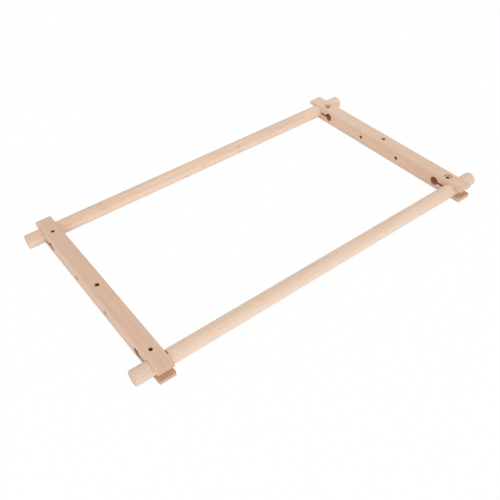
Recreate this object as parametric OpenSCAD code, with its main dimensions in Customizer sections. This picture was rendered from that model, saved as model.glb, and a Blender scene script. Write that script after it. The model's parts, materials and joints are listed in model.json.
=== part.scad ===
// Hand-held roller frame for quilting and tapestry, lying flat on a table.
// Two equal wooden rails hold two plain round rollers in the peg-shaped jaws at their ends.
// X runs along the rollers, Y along the rails and Z up. The origin is on the table, midway
// between the rails and midway between the rollers. Sizes are in millimetres.

/* [Frame] */
// Distance between the middles of the two rails
rail_spacing = 529; // [300:1:900]
// Distance between the axes of the two rollers
roller_spacing = 300; // [200:5:600]

/* [Rollers] */
// Diameter of a roller
roller_d = 21; // [19:0.5:30]
// How far a roller stands out past each rail, before it is staggered
stub_len = 23.5; // [8:0.5:60]
// How far the far roller is pushed to the right, and the near one to the left
roller_stagger = 0.2; // [0:0.1:4]
// Radius of the rounded rim at a roller's ends
roller_end_round = 1; // [0.4:0.1:3]

/* [Rails] */
// Width of a rail, along the rollers
rail_w = 24; // [20:1:40]
// Radius of a rail's long edges and of the upper and lower edges at its ends
edge_round = 1.5; // [0.5:0.1:2]
// Radius of the upright corners at a rail's ends
corner_round = 2.5; // [0.5:0.1:5]

/* [Jaws] */
// Gap between a roller and its bore, all round
fit_clearance = 0.05; // [0.02:0.01:0.1]
// Wood left above and below a roller's bore
jaw_wall = 1.45; // [1.2:0.05:4]
// How far the jaws reach past the bore
lip_len = 9.45; // [6:0.05:20]
// Height of the open mouth between the jaws' tips
mouth_gap = 12; // [8:0.5:16]
// How far the mouth lies off the rail's middle, towards the counterbored face
mouth_lift = 0.6; // [0:0.1:1.5]
// Radius of the mouth's inner edges at the tips
lip_round = 0.8; // [0.3:0.1:2]
// Height of the saw slit that lets the jaws close
slit_gap = 2.5; // [1:0.1:3]
// How far the slit and its relief hole lie off the rail's middle, towards the counterbored face
slit_lift = 0.8; // [0:0.1:2]
// Length of the slit between the bore and the relief hole
slit_len = 12.45; // [10:0.05:24]
// Diameter of the relief hole that ends the slit
relief_d = 14; // [8:0.5:16]

/* [Holes] */
// Diameter of the clamp bolt holes that cross the slits
clamp_hole_d = 5.5; // [4:0.5:7]
// Wood between a clamp bolt hole and the roller's bore
clamp_wall = 1.7; // [1:0.05:2.5]
// Diameter of the counterbore at one end of a clamp bolt hole
counterbore_d = 12.5; // [9:0.5:16]
// Depth of that counterbore
counterbore_depth = 2; // [1:0.5:4]
// Diameter of the upright hole at the middle of a rail
centre_hole_d = 6.5; // [4:0.5:10]
// Diameter of the two level holes through a rail
side_hole_d = 6; // [4:0.5:10]
// Distance between the two level holes
side_hole_pitch = 80; // [40:5:120]
// Width of the small chamfer at the rims of the holes
rim_chamfer = 0.4; // [0.1:0.1:1]

/* [Hidden] */
$fn = 64;

// What a cut runs past the face that it opens
past = 1;
// The two ends of a rail, and the two faces that a through hole opens
BOTH = [-1, 1];

bore_d = roller_d + 2 * fit_clearance;
rail_h = bore_d + 2 * jaw_wall;
rail_len = roller_spacing + bore_d + 2 * lip_len;
roller_len = rail_spacing + rail_w + 2 * stub_len;
clamp_y = (roller_spacing - bore_d - clamp_hole_d) / 2 - clamp_wall;
relief_y = (roller_spacing - bore_d - relief_d) / 2 - slit_len;

// A rectangle about the origin with round corners
module rounded_rect(size, r) {
    square([size[0] - 2 * r, size[1]], center = true);
    square([size[0], size[1] - 2 * r], center = true);
    for (x = BOTH, y = BOTH)
        translate([x * (size[0] / 2 - r), y * (size[1] / 2 - r)])
            circle(r);
}

// What is cut off a square corner at the origin to round it, the wood being at +x, +y
module corner_cut(r) {
    difference() {
        translate([-past, -past])
            square(r + past);
        translate([r, r])
            circle(r);
    }
}

// The cuts of one jaw seen from the side: x runs along the rail, and y up to the counterbored face
module jaw_cuts() {
    tip = rail_len / 2;
    translate([roller_spacing / 2, 0])
        circle(d = bore_d);
    translate([relief_y, slit_lift])
        circle(d = relief_d);
    translate([relief_y, slit_lift - slit_gap / 2])
        square([roller_spacing / 2 - relief_y, slit_gap]);
    translate([roller_spacing / 2, mouth_lift - mouth_gap / 2])
        square([tip + past - roller_spacing / 2, mouth_gap]);
    for (side = BOTH)
        translate([tip, mouth_lift + side * mouth_gap / 2])
            at_mouth_edge(side)
                corner_cut(lip_round);
}

// Turns a corner cut to the wood at -x, and above or below the mouth
module at_mouth_edge(side) {
    mirror([1, 0])
        mirror([0, side < 0 ? 1 : 0])
            children();
}

// A rail's outline from the side, with both jaws
module side_outline() {
    difference() {
        rounded_rect([rail_len, rail_h], edge_round);
        for (end = BOTH)
            mirror([end < 0 ? 1 : 0, 0])
                jaw_cuts();
    }
}

// The solid bar with its jaws, centred on the origin, its counterbored face up
module jawed_bar() {
    intersection() {
        rotate([90, 0, 90])
            linear_extrude(rail_w, center = true)
                side_outline();
        rotate([90, 0, 0])
            linear_extrude(rail_len + 2 * past, center = true)
                rounded_rect([rail_w, rail_h], edge_round);
        linear_extrude(rail_h + 2 * past, center = true)
            rounded_rect([rail_w, rail_len], corner_round);
    }
}

// A chamfer cone that widens a hole of diameter d at the height z where it opens upwards
module rim_cut(d, z) {
    translate([0, 0, z - rim_chamfer])
        cylinder(h = rim_chamfer + past, d1 = d, d2 = d + 2 * (rim_chamfer + past));
}

// A hole of diameter d along Z through a bar of the given depth, with both rims chamfered
module through_hole(d, depth) {
    cylinder(h = depth + 2 * past, d = d, center = true);
    for (face = BOTH)
        mirror([0, 0, face < 0 ? 1 : 0])
            rim_cut(d, depth / 2);
}

// A clamp bolt hole with its counterbore in the upper face
module clamp_hole() {
    cylinder(h = rail_h + 2 * past, d = clamp_hole_d, center = true);
    mirror([0, 0, 1])
        rim_cut(clamp_hole_d, rail_h / 2);
    translate([0, 0, rail_h / 2 - counterbore_depth])
        cylinder(h = counterbore_depth + past, d = counterbore_d);
    rim_cut(counterbore_d, rail_h / 2);
}

// One rail about its own middle, its counterbored face up
module rail() {
    difference() {
        jawed_bar();
        for (end = BOTH)
            translate([0, end * clamp_y, 0])
                clamp_hole();
        through_hole(centre_hole_d, rail_h);
        for (end = BOTH)
            translate([0, end * side_hole_pitch / 2, 0])
                rotate([0, 90, 0])
                    through_hole(side_hole_d, rail_w);
    }
}

// One roller along X about its own middle
module roller() {
    rotate([0, 90, 0])
        rotate_extrude()
            intersection() {
                rounded_rect([roller_d, roller_len], roller_end_round);
                translate([0, -roller_len / 2])
                    square([roller_d / 2, roller_len]);
            }
}

// The right rail lies with its counterbored face up
module right_rail() {
    color("burlywood")
        translate([rail_spacing / 2, 0, rail_h / 2])
            rail();
}

// The left rail is the same piece, turned over
module left_rail() {
    color("burlywood")
        translate([-rail_spacing / 2, 0, rail_h / 2])
            rotate([0, 180, 0])
                rail();
}

module near_roller() {
    color("wheat")
        translate([-roller_stagger, -roller_spacing / 2, rail_h / 2])
            roller();
}

module far_roller() {
    color("wheat")
        translate([roller_stagger, roller_spacing / 2, rail_h / 2])
            roller();
}

left_rail();
right_rail();
near_roller();
far_roller();
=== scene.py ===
"""Roller frame for quilting, in bare beech: two flat rails whose sawn jaws grip two round rollers."""

import json
import math

import bpy
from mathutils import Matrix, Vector

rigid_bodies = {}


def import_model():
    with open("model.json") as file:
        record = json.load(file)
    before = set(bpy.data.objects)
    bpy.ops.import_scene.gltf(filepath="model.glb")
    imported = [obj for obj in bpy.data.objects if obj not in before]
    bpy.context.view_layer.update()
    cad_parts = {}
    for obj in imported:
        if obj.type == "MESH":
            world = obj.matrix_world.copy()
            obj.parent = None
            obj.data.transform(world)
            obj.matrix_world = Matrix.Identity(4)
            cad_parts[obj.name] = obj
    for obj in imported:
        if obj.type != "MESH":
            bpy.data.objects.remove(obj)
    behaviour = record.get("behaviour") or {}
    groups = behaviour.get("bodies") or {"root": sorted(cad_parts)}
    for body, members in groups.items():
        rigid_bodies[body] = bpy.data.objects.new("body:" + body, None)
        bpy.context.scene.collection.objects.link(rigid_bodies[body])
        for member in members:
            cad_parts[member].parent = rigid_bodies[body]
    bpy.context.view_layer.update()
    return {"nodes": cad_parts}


# The frame's own sizes, in millimetres: X, Y and Z are places in it, R a radius, HALF half a width,
# START and END places along a piece from its middle, and LIFT a height above a rail's middle
RAIL_X = 264.5
RAIL_HALF = 12
RAIL_END = 170
MID_Z = 12
ROLLER_Y = 150
ROLLER_END = 300
ROLLER_SHIFT = 0.2
BORE_R = 10.55
MOUTH_LIFT = 0.6
MOUTH_HALF = 6
MOUTH_START = 156
SLIT_LIFT = 0.8
SLIT_HALF = 1.25
SLIT_START = 126
SLIT_END = 140
RELIEF_Y = 120
RELIEF_R = 7
CLAMP_Y = 135
CLAMP_R = 2.75
COUNTERBORE_R = 6.25
COUNTERBORE_DEPTH = 2
CENTRE_R = 3.25
STAND_Y = 40
STAND_R = 3

# How far the tone of a cut runs past its wall, so that the wall takes all of it, in millimetres
HAIR = 0.02

# The tones of plain beech, as they are seen on paper, 0 to 255; some are also laid as painted light and
# shade
BEECH = {
    "pale": (227, 198, 174),
    "body": (218, 186, 161),
    "streak": (207, 172, 146),
    "ring": (200, 162, 134),
    "dash": (180, 139, 111),
    "fleck": (235, 209, 188),
    "heart": (205, 166, 136),
    "end": (206, 168, 138),
    "worn": (216, 174, 138),
    # The paler tone below is laid as painted light
    "sapwood": (222, 197, 179),
    "dusty": (190, 170, 156),
}

# The tones of the wood inside the cuts, which is darker for being freshly cut and out of the light
CUTS = {
    "cut": (204, 160, 129),
    "relief": (186, 117, 82),
    "sawn": (156, 90, 50),
    "drilled": (172, 118, 78),
    # The darkest tone is painted shade, for deep holes and narrow joints
    "gap": (94, 40, 12),
}

# Cloudy patterns: their waves in a millimetre along the grain, across it and up, and where each
# starts, so that no two are alike
CLOUDS = {
    "sway": ((0.008, 0.02, 0.02), 3.1),
    "heave": ((0.006, 0.02, 0.02), 7.7),
    "tone": ((0.006, 0.09, 0.09), 2.2),
    "border": ((0.012, 0.05, 0.05), 8.8),
    "patches": ((0.35, 0.35, 0.35), 12.6),
}

# Patterns that grew with the tree: the same, along the trunk, round it and out from the pith
GROWTH = {
    "years": ((0.012, 0.03, 0.15), 1.3),
    "streaks": ((0.014, 0.75, 0.75), 5.9),
    "fibres": ((0.25, 5.0, 5.0), 9.4),
}

# How much a pattern's start counts in each of its three directions
CLOUD_STEPS = (1, 1.7, 2.3)
GROWTH_STEPS = (1, 1.3, 1.9)

# Ray cells: the size of one patch in millimetres along, round and out, the share of the places
# that have one, and where the pattern starts
RAYS = {
    "dashes": ((3.2, 0.62, 7.0), 0.62, 4.4),
    "specks": ((1.6, 0.35, 4.0), 0.5, 6.5),
    "coarse_specks": ((2.2, 0.9, 4.0), 0.75, 8.1),
    "rust": ((18.0, 4.0, 12.0), 0.35, 6.9),
}

# A patch of ray cells is whole as far as the first of these from its middle and gone at the second
RAY_EDGE = (0.16, 0.42)

# How far the middle of the tree wanders off a straight line, across and up, in millimetres
SWAY = 5
HEAVE = 4

# How far a ring wanders, in rings, how suddenly a year's growth darkens towards its end, and how
# strong the faintest year is
YEAR_WANDER = 0.9
YEAR_SUDDENNESS = 3
FAINTEST_YEAR = 0.25

# A face begins to show end grain when it faces along the grain by the first of these shares, and
# shows nothing else at the second
END_GRAIN = (0.45, 0.85)

# How far the soft border between two tones wanders, in millimetres
BORDER = 3

# How deep the grain of sanded wood is, in metres, and how strongly it shows
GRAIN_DEPTH = 0.00006
GRAIN_STRENGTH = 0.6

# Worn edges: how far from the edge the wear begins to fade and where it ends, in millimetres, the
# share of the worn tone, and how much smoother the wood is there
WORN_EDGE = (0.6, 2.2)
WORN_SHARE = 0.22
WORN_SMOOTH = 0.12

# Sawn wood: how much rougher it is, how closely the marks of the saw lie, in radians a millimetre,
# and how high they are beside the grain
SAWN_ROUGH = 0.12
SAW_MARKS = 7.5
SAW_MARK_HEIGHT = 0.35

# How many millimetres a metre has, for the CAD's pieces are in metres
METRE = 1000


def linear(red, green, blue):
    """A colour as it is seen on paper, 0 to 255, turned into light for a shader."""

    def channel(seen):
        seen = min(seen, 255) / 255
        return seen / 12.92 if seen <= 0.04045 else ((seen + 0.055) / 1.055) ** 2.4

    return (channel(red), channel(green), channel(blue), 1.0)


def board_tones(lighter, paler):
    """The tones of one board, so many levels lighter than plain beech, and so much less orange."""
    tones = {name: linear(*seen) for name, seen in CUTS.items()}
    for name, (red, green, blue) in BEECH.items():
        tones[name] = linear(red + lighter, green + lighter + 0.4 * paler, blue + lighter + 0.6 * paler)
    return tones


class Wire:
    """A number that varies over a surface. Arithmetic on it adds Math nodes to its finish."""

    def __init__(self, finish, socket):
        self.finish = finish
        self.socket = socket

    def other(self, output):
        """Another output of the node that this one comes from."""
        return Wire(self.finish, self.socket.node.outputs[output])

    def math(self, operation, *others):
        inputs = dict(enumerate((self, *others)))
        return self.finish.add("ShaderNodeMath", {"operation": operation}, inputs)

    def __add__(self, other):
        return self.math("ADD", other)

    def __sub__(self, other):
        return self.math("SUBTRACT", other)

    def __mul__(self, other):
        return self.math("MULTIPLY", other)

    def __truediv__(self, other):
        return self.math("DIVIDE", other)

    def __pow__(self, other):
        return self.math("POWER", other)

    def __radd__(self, other):
        return self + other

    def __rmul__(self, other):
        return self * other

    def __rsub__(self, other):
        return self * -1 + other

    def __abs__(self):
        return self.math("ABSOLUTE")

    def least(self, other):
        return self.math("MINIMUM", other)

    def most(self, other):
        return self.math("MAXIMUM", other)


class Finish:
    """The nodes of one material, or of the world."""

    def __init__(self, owner):
        self.owner = owner
        owner.use_nodes = True
        self.tree = owner.node_tree
        self.tree.nodes.clear()

    def add(self, kind, settings=None, inputs=None, output=0):
        """Adds a node, makes its settings and then fills its sockets, and gives one of its outputs."""
        node = self.tree.nodes.new(kind)
        for name, value in (settings or {}).items():
            setattr(node, name, value)
        for key, value in (inputs or {}).items():
            self.fill(self.find(node.inputs, key), value)
        return Wire(self, self.find(node.outputs, output)) if node.outputs else None

    def find(self, sockets, key):
        """A socket by its number, or by its name among those in use."""
        if isinstance(key, int):
            return sockets[key]
        return next(s for s in sockets if s.enabled and s.name == key)

    def fill(self, socket, value):
        """Links what varies to a socket, and sets a constant on it."""
        if isinstance(value, Wire):
            self.tree.links.new(value.socket, socket)
        else:
            socket.default_value = value

    def point(self, x, y, z):
        return self.add("ShaderNodeCombineXYZ", None, {"X": x, "Y": y, "Z": z})

    def split(self, vector):
        """The three numbers of a vector."""
        first = self.add("ShaderNodeSeparateXYZ", None, {"Vector": vector}, "X")
        return [first, first.other("Y"), first.other("Z")]

    def noise(self, vector, detail=2.0, rough=0.5):
        inputs = {"Vector": vector, "Scale": 1.0, "Detail": detail, "Roughness": rough}
        return self.add("ShaderNodeTexNoise", {"noise_dimensions": "3D"}, inputs, "Fac")

    def rise(self, value, low, high):
        """Rises softly from 0 where value is low to 1 where it is high."""
        inputs = {"Value": value, "From Min": low, "From Max": high}
        return self.add("ShaderNodeMapRange", {"interpolation_type": "SMOOTHSTEP"}, inputs, "Result")

    def fade(self, value, low, high):
        """Fades softly from 1 where value is low to 0 where it is high."""
        return 1 - self.rise(value, low, high)

    def within(self, value, wall, blur):
        """1 as far as a cut's wall, and softly 0 from there over the width of the blur."""
        return self.fade(value, wall + HAIR, wall + blur)

    def tint(self, share, first, second):
        """The first colour, with a share of the second laid over it."""
        settings = {"data_type": "RGBA", "blend_type": "MIX"}
        return self.add("ShaderNodeMix", settings, {"Factor": share, "A": first, "B": second}, "Result")

    def lay(self, colour, layers, tones):
        """Lays tones over a colour. A layer says where its tone lies, its share there and its name."""
        for where, share, tone in layers:
            colour = self.tint(where * share, colour, tones[tone])
        return colour


def distance(first, second):
    return (first * first + second * second).math("SQRT")


class Board:
    """The grain of one piece of beech, worked out in millimetres from the middle of the piece.

    grain is the axis that the fibres run along, and ring the width of a year's growth. pith is
    where the middle of the tree lay, measured across the grain from the middle of the piece.
    """

    def __init__(self, finish, grain, centre, pith, ring, seed):
        self.finish = finish
        self.ring = ring
        self.seed = seed
        order = (1, 0, 2) if grain == "Y" else (0, 1, 2)
        place = finish.split(self.millimetres(centre))
        facing = finish.split(self.coordinate("Normal"))
        self.along, self.across, self.up = (place[axis] for axis in order)
        face_along, face_across, face_up = (facing[axis] for axis in order)
        out_across = self.across + (self.soft("sway") - 0.5) * SWAY - pith[0]
        out_up = self.up + (self.soft("heave") - 0.5) * HEAVE - pith[1]
        self.radius = distance(out_across, out_up)
        self.round = out_up.math("ARCTAN2", out_across) * math.hypot(*pith)
        facing_pith = (face_across * out_across + face_up * out_up) / self.radius
        self.end_grain = finish.rise(abs(face_along), *END_GRAIN)
        self.flat_sawn = facing_pith * facing_pith
        self.quarter_sawn = (1 - self.flat_sawn) * (1 - self.end_grain)

    def coordinate(self, kind):
        return self.finish.add("ShaderNodeTexCoord", None, None, kind)

    def millimetres(self, centre):
        """The place on the piece, in millimetres from its middle."""
        inputs = {0: self.coordinate("Object"), 1: (METRE, METRE, METRE), 2: [-c for c in centre]}
        return self.finish.add("ShaderNodeVectorMath", {"operation": "MULTIPLY_ADD"}, inputs)

    def pattern(self, directions, waves, start, steps):
        """A point in a pattern, measured in its waves. The start counts by its step in each direction."""
        start = self.seed + start
        axes = zip(directions, waves, steps)
        return self.finish.point(*(place * wave + start * step for place, wave, step in axes))

    def soft(self, name):
        """Cloudy variation over the piece."""
        waves, start = CLOUDS[name]
        directions = (self.along, self.across, self.up)
        return self.finish.noise(self.pattern(directions, waves, start, CLOUD_STEPS))

    def in_wood(self, waves, start):
        """A point in the tree's own directions: along the trunk, round it and out from the pith."""
        return self.pattern((self.along, self.round, self.radius), waves, start, GROWTH_STEPS)

    def late_wood(self):
        """The dark outer part of each year's growth, more marked in some years."""
        wander = self.finish.noise(self.in_wood(*GROWTH["years"])) * YEAR_WANDER
        years = self.radius / self.ring + wander
        year = {"W": years.math("FLOOR")}
        weight = self.finish.add("ShaderNodeTexWhiteNoise", {"noise_dimensions": "1D"}, year, "Value")
        strength = weight * (1 - FAINTEST_YEAR) + FAINTEST_YEAR
        return years.math("FRACT") ** YEAR_SUDDENNESS * strength

    def streaks(self):
        """Long thin changes of tone along the grain."""
        return self.finish.noise(self.in_wood(*GROWTH["streaks"]), detail=4.0, rough=0.65)

    def fibres(self):
        """The finest grain, which raises a light fuzz under sandpaper."""
        return self.finish.noise(self.in_wood(*GROWTH["fibres"]), detail=3.0, rough=0.7)

    def rays(self, name):
        """Thin sheets of ray cells: short dashes on a flat-sawn face, broad flecks on a quarter-sawn."""
        size, share, start = RAYS[name]
        place = self.in_wood([1 / length for length in size], start)
        inputs = {"Vector": place, "Scale": 1.0, "Randomness": 1.0}
        cells = self.finish.add("ShaderNodeTexVoronoi", {"feature": "F1"}, inputs, "Distance")
        chance = self.finish.split(cells.other("Color"))[0]
        present = self.finish.rise(chance, 1 - share, 1.12 - share)
        return self.finish.fade(cells, *RAY_EDGE) * present

    def towards(self, slope, start, full):
        """A soft change of tone towards one side of the piece, 0 at the start and 1 where it is full.

        Both are told on a scale that grows by the slope with each millimetre along, across and up.
        """
        reach = self.along * slope[0] + self.across * slope[1] + self.up * slope[2]
        return self.finish.rise(reach + (self.soft("border") - 0.5) * BORDER, start, full)

    def left_face(self):
        """1 on a rail's left face and the start of its rounded edges."""
        return self.finish.rise(self.across * -1, RAIL_HALF - 0.8, RAIL_HALF - 0.2)

    def patchy(self, least):
        """Breaks up a line or stain, from least to 1."""
        return self.soft("patches") * (1 - least) + least


def lay_grain(f, board, tones, streaky, flecked):
    """Sanded beech as it comes off the plane: its colour, its roughness and the height of its grain.

    streaky and flecked say how strongly the streaks and the dashes stand out, 1 on a plain board.
    """
    late = board.late_wood()
    streaks = board.streaks()
    fibres = board.fibres()
    dashes = board.rays("dashes")
    specks = board.rays("specks")
    colour = f.tint(f.rise(board.soft("tone"), 0.3, 0.7), tones["pale"], tones["body"])
    layers = [
        (f.rise(streaks, 0.35, 0.8), 0.55 * streaky, "streak"),
        (late, 0.35 + 0.4 * board.end_grain, "ring"),
        (dashes * board.flat_sawn, 0.48 * flecked, "dash"),
        (specks * board.flat_sawn, 0.26 * flecked, "dash"),
        (dashes * board.quarter_sawn, 0.16, "fleck"),
        (fibres, 0.16 + 0.2 * board.end_grain, "streak"),
        (board.end_grain, 0.55, "end"),
        (dashes * board.end_grain, 0.18, "fleck"),
    ]
    colour = f.lay(colour, layers, tones)
    rough = 0.6 + 0.1 * streaks + 0.08 * board.end_grain - 0.1 * dashes * board.quarter_sawn
    height = 0.6 * fibres + 0.25 * streaks - 0.3 * late - 0.25 * specks
    return colour, rough, height


def counterbore_rail(f, board, lift):
    """The layers inside the counterbores: a faint cut tone over the floor, and painted shade by the wall.
    """
    from_bolt = distance(abs(board.along) - CLAMP_Y, board.across)
    depth = RAIL_HALF - board.up * lift
    shallow = f.rise(depth, 0.1, 0.5) * f.fade(depth, COUNTERBORE_DEPTH + 0.1, COUNTERBORE_DEPTH + 0.3)
    inside = shallow * f.within(from_bolt, COUNTERBORE_R, 0.1)
    # painted shade by the counterbore's wall
    wall = inside * f.rise(from_bolt, COUNTERBORE_R - 0.5, COUNTERBORE_R - 0.1)
    return [(inside, 0.15, "cut"), (wall, 0.45, "relief")]


def open_jaws(f, board, lift):
    """The layers inside the jaws' bores and mouths, partly the cut wood's tone and partly painted shade,
    and where the saw has been.
    """
    end_way = abs(board.along)
    from_axis = distance(end_way - ROLLER_Y, board.up)
    from_side = RAIL_HALF - abs(board.across)
    bore = f.within(from_axis, BORE_R, 0.2)
    past_roller = f.rise(end_way, MOUTH_START, MOUTH_START + 0.5)
    mouth = f.within(abs(board.up * lift - MOUTH_LIFT), MOUTH_HALF, 0.15) * past_roller
    # painted shade in the bore beside the roller, behind the jaw's side
    shade_behind_roller = bore * f.rise(from_side, 0.3, 1.5) * f.fade(from_axis, BORE_R + 0.05, BORE_R + 0.35)
    return [(mouth.most(bore), 0.8, "cut"), (shade_behind_roller, 0.45, "sawn")], mouth


def slit_rail(f, board, lift):
    """The layers inside the relief holes and the slits, partly painted shade, and where the saw has been.
    """
    end_way = abs(board.along)
    off_slit = board.up * lift - SLIT_LIFT
    from_side = RAIL_HALF - abs(board.across)
    relief = f.within(distance(end_way - RELIEF_Y, off_slit), RELIEF_R, 0.15)
    # painted shade, deepening into the relief holes from the side faces
    inside = relief * f.rise(from_side, -0.2, 3.0)
    between = f.rise(end_way, SLIT_START, SLIT_START + 0.5) * f.fade(end_way, SLIT_END, SLIT_END + 0.3)
    # the slit's sawn tone, partly painted shade, reaches a little past its walls
    slit = f.fade(abs(off_slit), SLIT_HALF + 0.1, SLIT_HALF + 1.0) * between
    return [(inside, 0.85, "relief"), (slit, 0.92, "sawn")], slit


def drill_rail(f, board, torn_share):
    """The layers inside the clamp, centre and stand holes, partly painted shade, and painted shade round
    the rims of the last.
    """
    end_way = abs(board.along)
    from_top = RAIL_HALF - abs(board.up)
    from_side = RAIL_HALF - abs(board.across)
    clamp = f.within(distance(end_way - CLAMP_Y, board.across), CLAMP_R, 0.1)
    centre = f.within(distance(board.along, board.across), CENTRE_R, 0.1)
    upright = clamp.most(centre) * f.rise(from_top, 0.3, 2.4)
    # painted shade, darkest deep in the clamp and centre holes
    deep = upright * f.rise(from_top, 1.2, 4)
    from_stand = distance(end_way - STAND_Y, board.up)
    level = f.within(from_stand, STAND_R, 0.1) * f.rise(from_side, 0.2, 1.2)
    # painted shade round the stand holes' rims on the left face
    rim_shade = f.fade(from_stand, STAND_R + 0.3, STAND_R + 1.1) * board.left_face()
    return [(upright.most(level), 0.9, "drilled"), (deep, 0.65, "gap"), (rim_shade, torn_share, "drilled")]


def shade_roller_joints(f, board, gap_share):
    """Painted shade in the joint where a roller enters the rail."""
    from_axis = distance(abs(board.along) - ROLLER_Y, board.up)
    from_side = RAIL_HALF - abs(board.across)
    joint_shade = f.fade(from_axis, BORE_R + 0.5, BORE_R + 0.9) * f.fade(from_side, 0.5, 1.0)
    return [(joint_shade * board.patchy(0.3), gap_share, "gap")]


def cut_rail(f, board, lift, gap_share, torn_share):
    """The layers inside a rail's holes, slits and jaws, and where the saw has been.

    lift is 1 on a rail whose counterbores face up and -1 on one whose counterbores face down.
    The first share is how dark the painted shade is in the joint where a roller enters the rail,
    and the second how dark the painted shade is round the stand holes' rims on the left face.
    """
    jaws, mouth = open_jaws(f, board, lift)
    slits, slit = slit_rail(f, board, lift)
    holes = drill_rail(f, board, torn_share)
    joint_shades = shade_roller_joints(f, board, gap_share)
    return counterbore_rail(f, board, lift) + jaws + slits + holes + joint_shades, mouth.most(slit)


def wear_rail(f, board):
    """Where hands have rubbed a rail's edges and corners."""
    from_top = RAIL_HALF - abs(board.up)
    from_side = RAIL_HALF - abs(board.across)
    from_end = RAIL_END - abs(board.along)
    edge = (from_top + from_side).least(from_top + from_end).least(from_side + from_end)
    return f.fade(edge, *WORN_EDGE) * board.patchy(0.2)


def shade_roller_at_jaws(f, board):
    """Painted shade: faint dark lines on a roller where it leaves the rails' jaws."""
    from_rail = abs(abs(abs(board.along) - RAIL_X) - RAIL_HALF)
    return [(f.fade(from_rail, 0.3, 1.5) * board.patchy(0.1), 0.08, "gap")]


def gap_shadow_line(f, board, place, middle, reach):
    """A line of painted shadow on a roller, where a jaw's edge leaves a gap, tapering off towards its
    ends.

    place is how far along the roller it lies, middle the angle round the roller at its middle,
    and reach the angle from there to each of its ends, in degrees.
    """
    angle = board.up.math("ARCTAN2", board.across) * (180 / math.pi)
    off_middle = abs(angle - middle)
    width = abs(board.along - place) + f.rise(off_middle, 0.3 * reach, reach) * 0.45
    line = f.fade(width, 0.5, 1.1) * f.fade(off_middle, reach - 3, reach + 1)
    return [(line, 0.92, "gap")]


def wear_roller(f, board):
    """Where a roller's end rims have been knocked and rubbed."""
    return f.rise(abs(board.along), ROLLER_END - 1.6, ROLLER_END - 0.1) * board.patchy(0.2)


def bare_beech(name, facts, tones, streaky, flecked, shade, cut, wear):
    """Sanded, unvarnished beech, its colour drifting a little over the piece, with painted light and
    shade laid over it in places.
    """
    f = Finish(bpy.data.materials.new(name))
    board = Board(f, **facts)
    colour, rough, height = lay_grain(f, board, tones, streaky, flecked)
    worn = wear(f, board)
    cuts, sawn = cut(f, board)
    colour = f.lay(colour, shade(f, board) + [(worn, WORN_SHARE, "worn")] + cuts, tones)
    rough = rough - WORN_SMOOTH * worn
    if sawn:
        rough = rough + SAWN_ROUGH * sawn
        height = height + SAW_MARK_HEIGHT * (board.along * SAW_MARKS).math("SINE") * sawn
    grain = {"Strength": GRAIN_STRENGTH, "Distance": GRAIN_DEPTH, "Height": height}
    bump = f.add("ShaderNodeBump", None, grain, "Normal")
    skin = {"Base Color": colour, "Roughness": rough, "Normal": bump, "Specular IOR Level": 0.5}
    f.add("ShaderNodeOutputMaterial", None, {"Surface": f.add("ShaderNodeBsdfPrincipled", None, skin)})
    return f.owner


def left_rail_beech():
    def shade(f, board):
        near_end = board.towards((-0.05, 0, 0), -6, 8)
        far_end = board.towards((0.05, 0, 0), -3, 7)
        # painted highlight along the left edge, where the rounded edge catches the light
        lit_left_edge = board.towards((0, -1, 0), 7.5, 10)
        left_face = board.left_face()
        # greyer towards the bottom of the left face
        low_edge = f.fade(board.up, -12, -3) * left_face
        return [
            (near_end, 0.1, "fleck"),
            (far_end, 0.16, "pale"),
            (lit_left_edge, 0.3, "pale"),
            # painted light: the left face paler and cooler, as the light falls on it
            (left_face, 0.3, "sapwood"),
            (low_edge, 0.6, "dusty"),
            (board.end_grain, 0.22, "ring"),
            (board.end_grain, 0.22, "dusty"),
        ]

    def cut(f, board):
        return cut_rail(f, board, lift=-1, gap_share=0.85, torn_share=0.55)

    return bare_beech(
        "left_rail_beech",
        {"grain": "Y", "centre": (-RAIL_X, 0, MID_Z), "pith": (-21, -62), "ring": 2.3, "seed": 11.0},
        board_tones(lighter=-1, paler=-6),
        streaky=1.0,
        flecked=1.0,
        shade=shade,
        cut=cut,
        wear=wear_rail,
    )


def right_rail_beech():
    def shade(f, board):
        near_end = board.towards((-0.05, 0, 0), -9, 9)
        far_end = board.towards((0.05, 0, 0), -2, 8)
        heart_side = board.towards((-0.01, -1, 0), 7, 12.5)
        left_face = board.left_face()
        # painted light: the lower half of the left face paler
        lit_low_half = f.fade(board.up, -6, 8) * left_face
        # greyer towards the bottom of the left face
        low_edge = f.fade(board.up, -10, -4) * left_face
        # painted shade: warmer and darker on the near lip's left face, beside the roller
        shaded_near_lip = f.fade(board.along, -162, -155) * left_face
        return [
            (near_end, 0.36, "streak"),
            (far_end, 0.3, "pale"),
            (heart_side, 0.62, "heart"),
            (lit_low_half, 0.2, "sapwood"),
            (low_edge, 0.25, "dusty"),
            (shaded_near_lip, 0.45, "heart"),
            (board.end_grain, 0.25, "dusty"),
        ]

    def cut(f, board):
        return cut_rail(f, board, lift=1, gap_share=0.2, torn_share=0.0)

    return bare_beech(
        "right_rail_beech",
        {"grain": "Y", "centre": (RAIL_X, 0, MID_Z), "pith": (48, -40), "ring": 2.7, "seed": 23.0},
        board_tones(lighter=9, paler=5),
        streaky=1.8,
        flecked=1.4,
        shade=shade,
        cut=cut,
        wear=wear_rail,
    )


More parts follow.
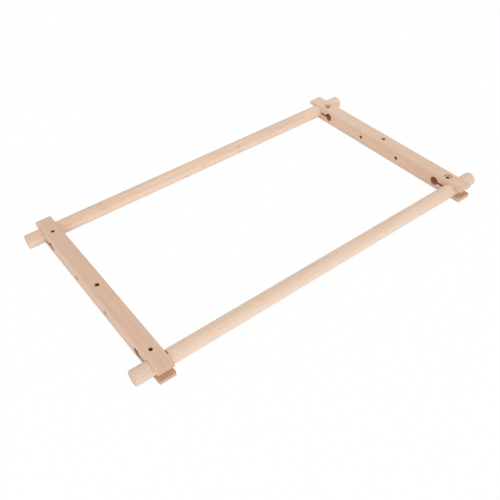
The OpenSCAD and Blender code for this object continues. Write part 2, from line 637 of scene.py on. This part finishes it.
def near_roller_beech():
    def shade(f, board):
        leftwards = board.towards((-0.02, 0, 0), -2, 6)
        # painted shade: darker on the roller's front flank, below its top
        under = board.towards((0, -1, -0.3), 1, 7)
        # painted light: the lower front flank paler, as lit from the floor and the front
        lit_flank = board.towards((0, -1, -0.3), 6.5, 11)
        right_end = f.rise(board.along, 150, 230)
        left_end = f.rise(board.along * -1, 274, 284)
        return [
            (leftwards, 0.22, "streak"),
            (under, 0.24, "streak"),
            (lit_flank, 0.8, "sapwood"),
            (right_end, 0.3, "streak"),
            (left_end, 0.25, "dusty"),
            (board.rays("coarse_specks") * board.flat_sawn * left_end, 0.75, "dash"),
        ]

    def cut(f, board):
        # painted shadow in the gap beside the left rail's inner face, over the top of the roller
        gap_shadow = gap_shadow_line(f, board, place=-251.4, middle=87.5, reach=23)
        return shade_roller_at_jaws(f, board) + gap_shadow, None

    centre = (-ROLLER_SHIFT, -ROLLER_Y, MID_Z)
    return bare_beech(
        "near_roller_beech",
        {"grain": "X", "centre": centre, "pith": (-8, -46), "ring": 2.4, "seed": 37.0},
        board_tones(lighter=9, paler=12),
        streaky=0.9,
        flecked=2.6,
        shade=shade,
        cut=cut,
        wear=wear_roller,
    )


def far_roller_beech():
    def shade(f, board):
        redder_end = board.towards((-0.05, 0, 0), -1, 8)
        dark_patch = f.fade(abs(board.along - 140), 15, 75)
        # painted light: the lower front flank paler, as lit from the floor and the front
        lit_flank = board.towards((0, -1, -0.3), 6.5, 11)
        smooth_end = f.rise(board.along, 205, 240)
        return [
            (redder_end, 0.36, "heart"),
            (dark_patch, 0.3, "streak"),
            (lit_flank, 0.55, "fleck"),
            (smooth_end, 0.5, "pale"),
            (board.rays("rust") * f.fade(board.along, 100, 200), 0.35, "dash"),
        ]

    def cut(f, board):
        return shade_roller_at_jaws(f, board), None

    centre = (ROLLER_SHIFT, ROLLER_Y, MID_Z)
    return bare_beech(
        "far_roller_beech",
        {"grain": "X", "centre": centre, "pith": (20, -46), "ring": 2.9, "seed": 51.0},
        board_tones(lighter=11, paler=6),
        streaky=1.9,
        flecked=1.5,
        shade=shade,
        cut=cut,
        wear=wear_roller,
    )


WOODS = {
    "left_rail": left_rail_beech,
    "right_rail": right_rail_beech,
    "near_roller": near_roller_beech,
    "far_roller": far_roller_beech,
}

# The studio's paper and even light
WHITE = (1.0, 1.0, 1.0, 1.0)
PAPER = linear(248, 248, 248)
PAPER_GLOW = 0.97
SKY_LEVEL = 0.9
FLOOR_REACH = 6.0

# The lamps' places in metres and their watts, and how wide each is
LAMPS = {
    "front_lamp": ((-0.35, -2.4, 0.15), 20),
    "left_lamp": ((-2.3, -0.6, 0.8), 6.3),
}
LAMP_WIDTH = 1.6

# The camera's place in metres and its turn in radians, its lens and its film's width in millimetres
CAMERA_PLACE = (-0.44439, -0.58930, 0.62131)
CAMERA_TURN = (0.817062, 0.0278164, -0.653887)
CAMERA_LENS = 46.155
CAMERA_FILM = 36


def seen_directly(f):
    """1 for what the camera sees, also in a reflection or through glass, and 0 for light on its way."""
    camera, glossy, through = (
        f.add("ShaderNodeLightPath", None, None, kind)
        for kind in ("Is Camera Ray", "Is Glossy Ray", "Is Transmission Ray")
    )
    return camera.most(glossy).most(through)


def studio_paper():
    """White paper, on which shadows stay faint."""
    f = Finish(bpy.data.materials.new("studio_paper"))
    matt = f.add("ShaderNodeBsdfDiffuse", None, {"Color": PAPER})
    glow = f.add("ShaderNodeEmission", None, {"Color": WHITE, "Strength": 1.0})
    both = f.add("ShaderNodeMixShader", None, {0: seen_directly(f) * PAPER_GLOW, 1: matt, 2: glow})
    f.add("ShaderNodeOutputMaterial", None, {"Surface": both})
    return f.owner


def make_floor():
    mesh = bpy.data.meshes.new("floor")
    corners = [(x * FLOOR_REACH, y * FLOOR_REACH, 0) for x, y in ((-1, -1), (1, -1), (1, 1), (-1, 1))]
    mesh.from_pydata(corners, [], [(0, 1, 2, 3)])
    mesh.materials.append(studio_paper())
    floor = bpy.data.objects.new("floor", mesh)
    bpy.context.scene.collection.objects.link(floor)


def make_world():
    """Even white light from all round, and a white background."""
    world = bpy.data.worlds.new("studio")
    bpy.context.scene.world = world
    f = Finish(world)
    light = f.add("ShaderNodeBackground", None, {"Color": WHITE, "Strength": SKY_LEVEL})
    backdrop = f.add("ShaderNodeBackground", None, {"Color": WHITE, "Strength": 1.0})
    both = f.add("ShaderNodeMixShader", None, {0: seen_directly(f), 1: light, 2: backdrop})
    f.add("ShaderNodeOutputWorld", None, {"Surface": both})


def make_lamp(name, place, watts):
    """A large square lamp that faces the middle of the frame."""
    lamp = bpy.data.lights.new(name, "AREA")
    lamp.size = LAMP_WIDTH
    lamp.energy = watts
    holder = bpy.data.objects.new(name, lamp)
    holder.location = place
    holder.rotation_euler = (-Vector(place)).to_track_quat("-Z", "Y").to_euler()
    bpy.context.scene.collection.objects.link(holder)


def make_camera():
    lens = bpy.data.cameras.new("camera")
    lens.sensor_width = CAMERA_FILM
    lens.lens = CAMERA_LENS
    camera = bpy.data.objects.new("camera", lens)
    camera.location = CAMERA_PLACE
    camera.rotation_euler = CAMERA_TURN
    bpy.context.scene.collection.objects.link(camera)
    bpy.context.scene.camera = camera


def clear_scene():
    for thing in list(bpy.data.objects):
        bpy.data.objects.remove(thing)


clear_scene()
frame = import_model()
bpy.context.scene.view_settings.view_transform = "Standard"
make_camera()
for node, wood in WOODS.items():
    beech = wood()
    for holder in frame["nodes"][node].material_slots:
        holder.material = beech
make_floor()
make_world()
for name, (place, watts) in LAMPS.items():
    make_lamp(name, place, watts)
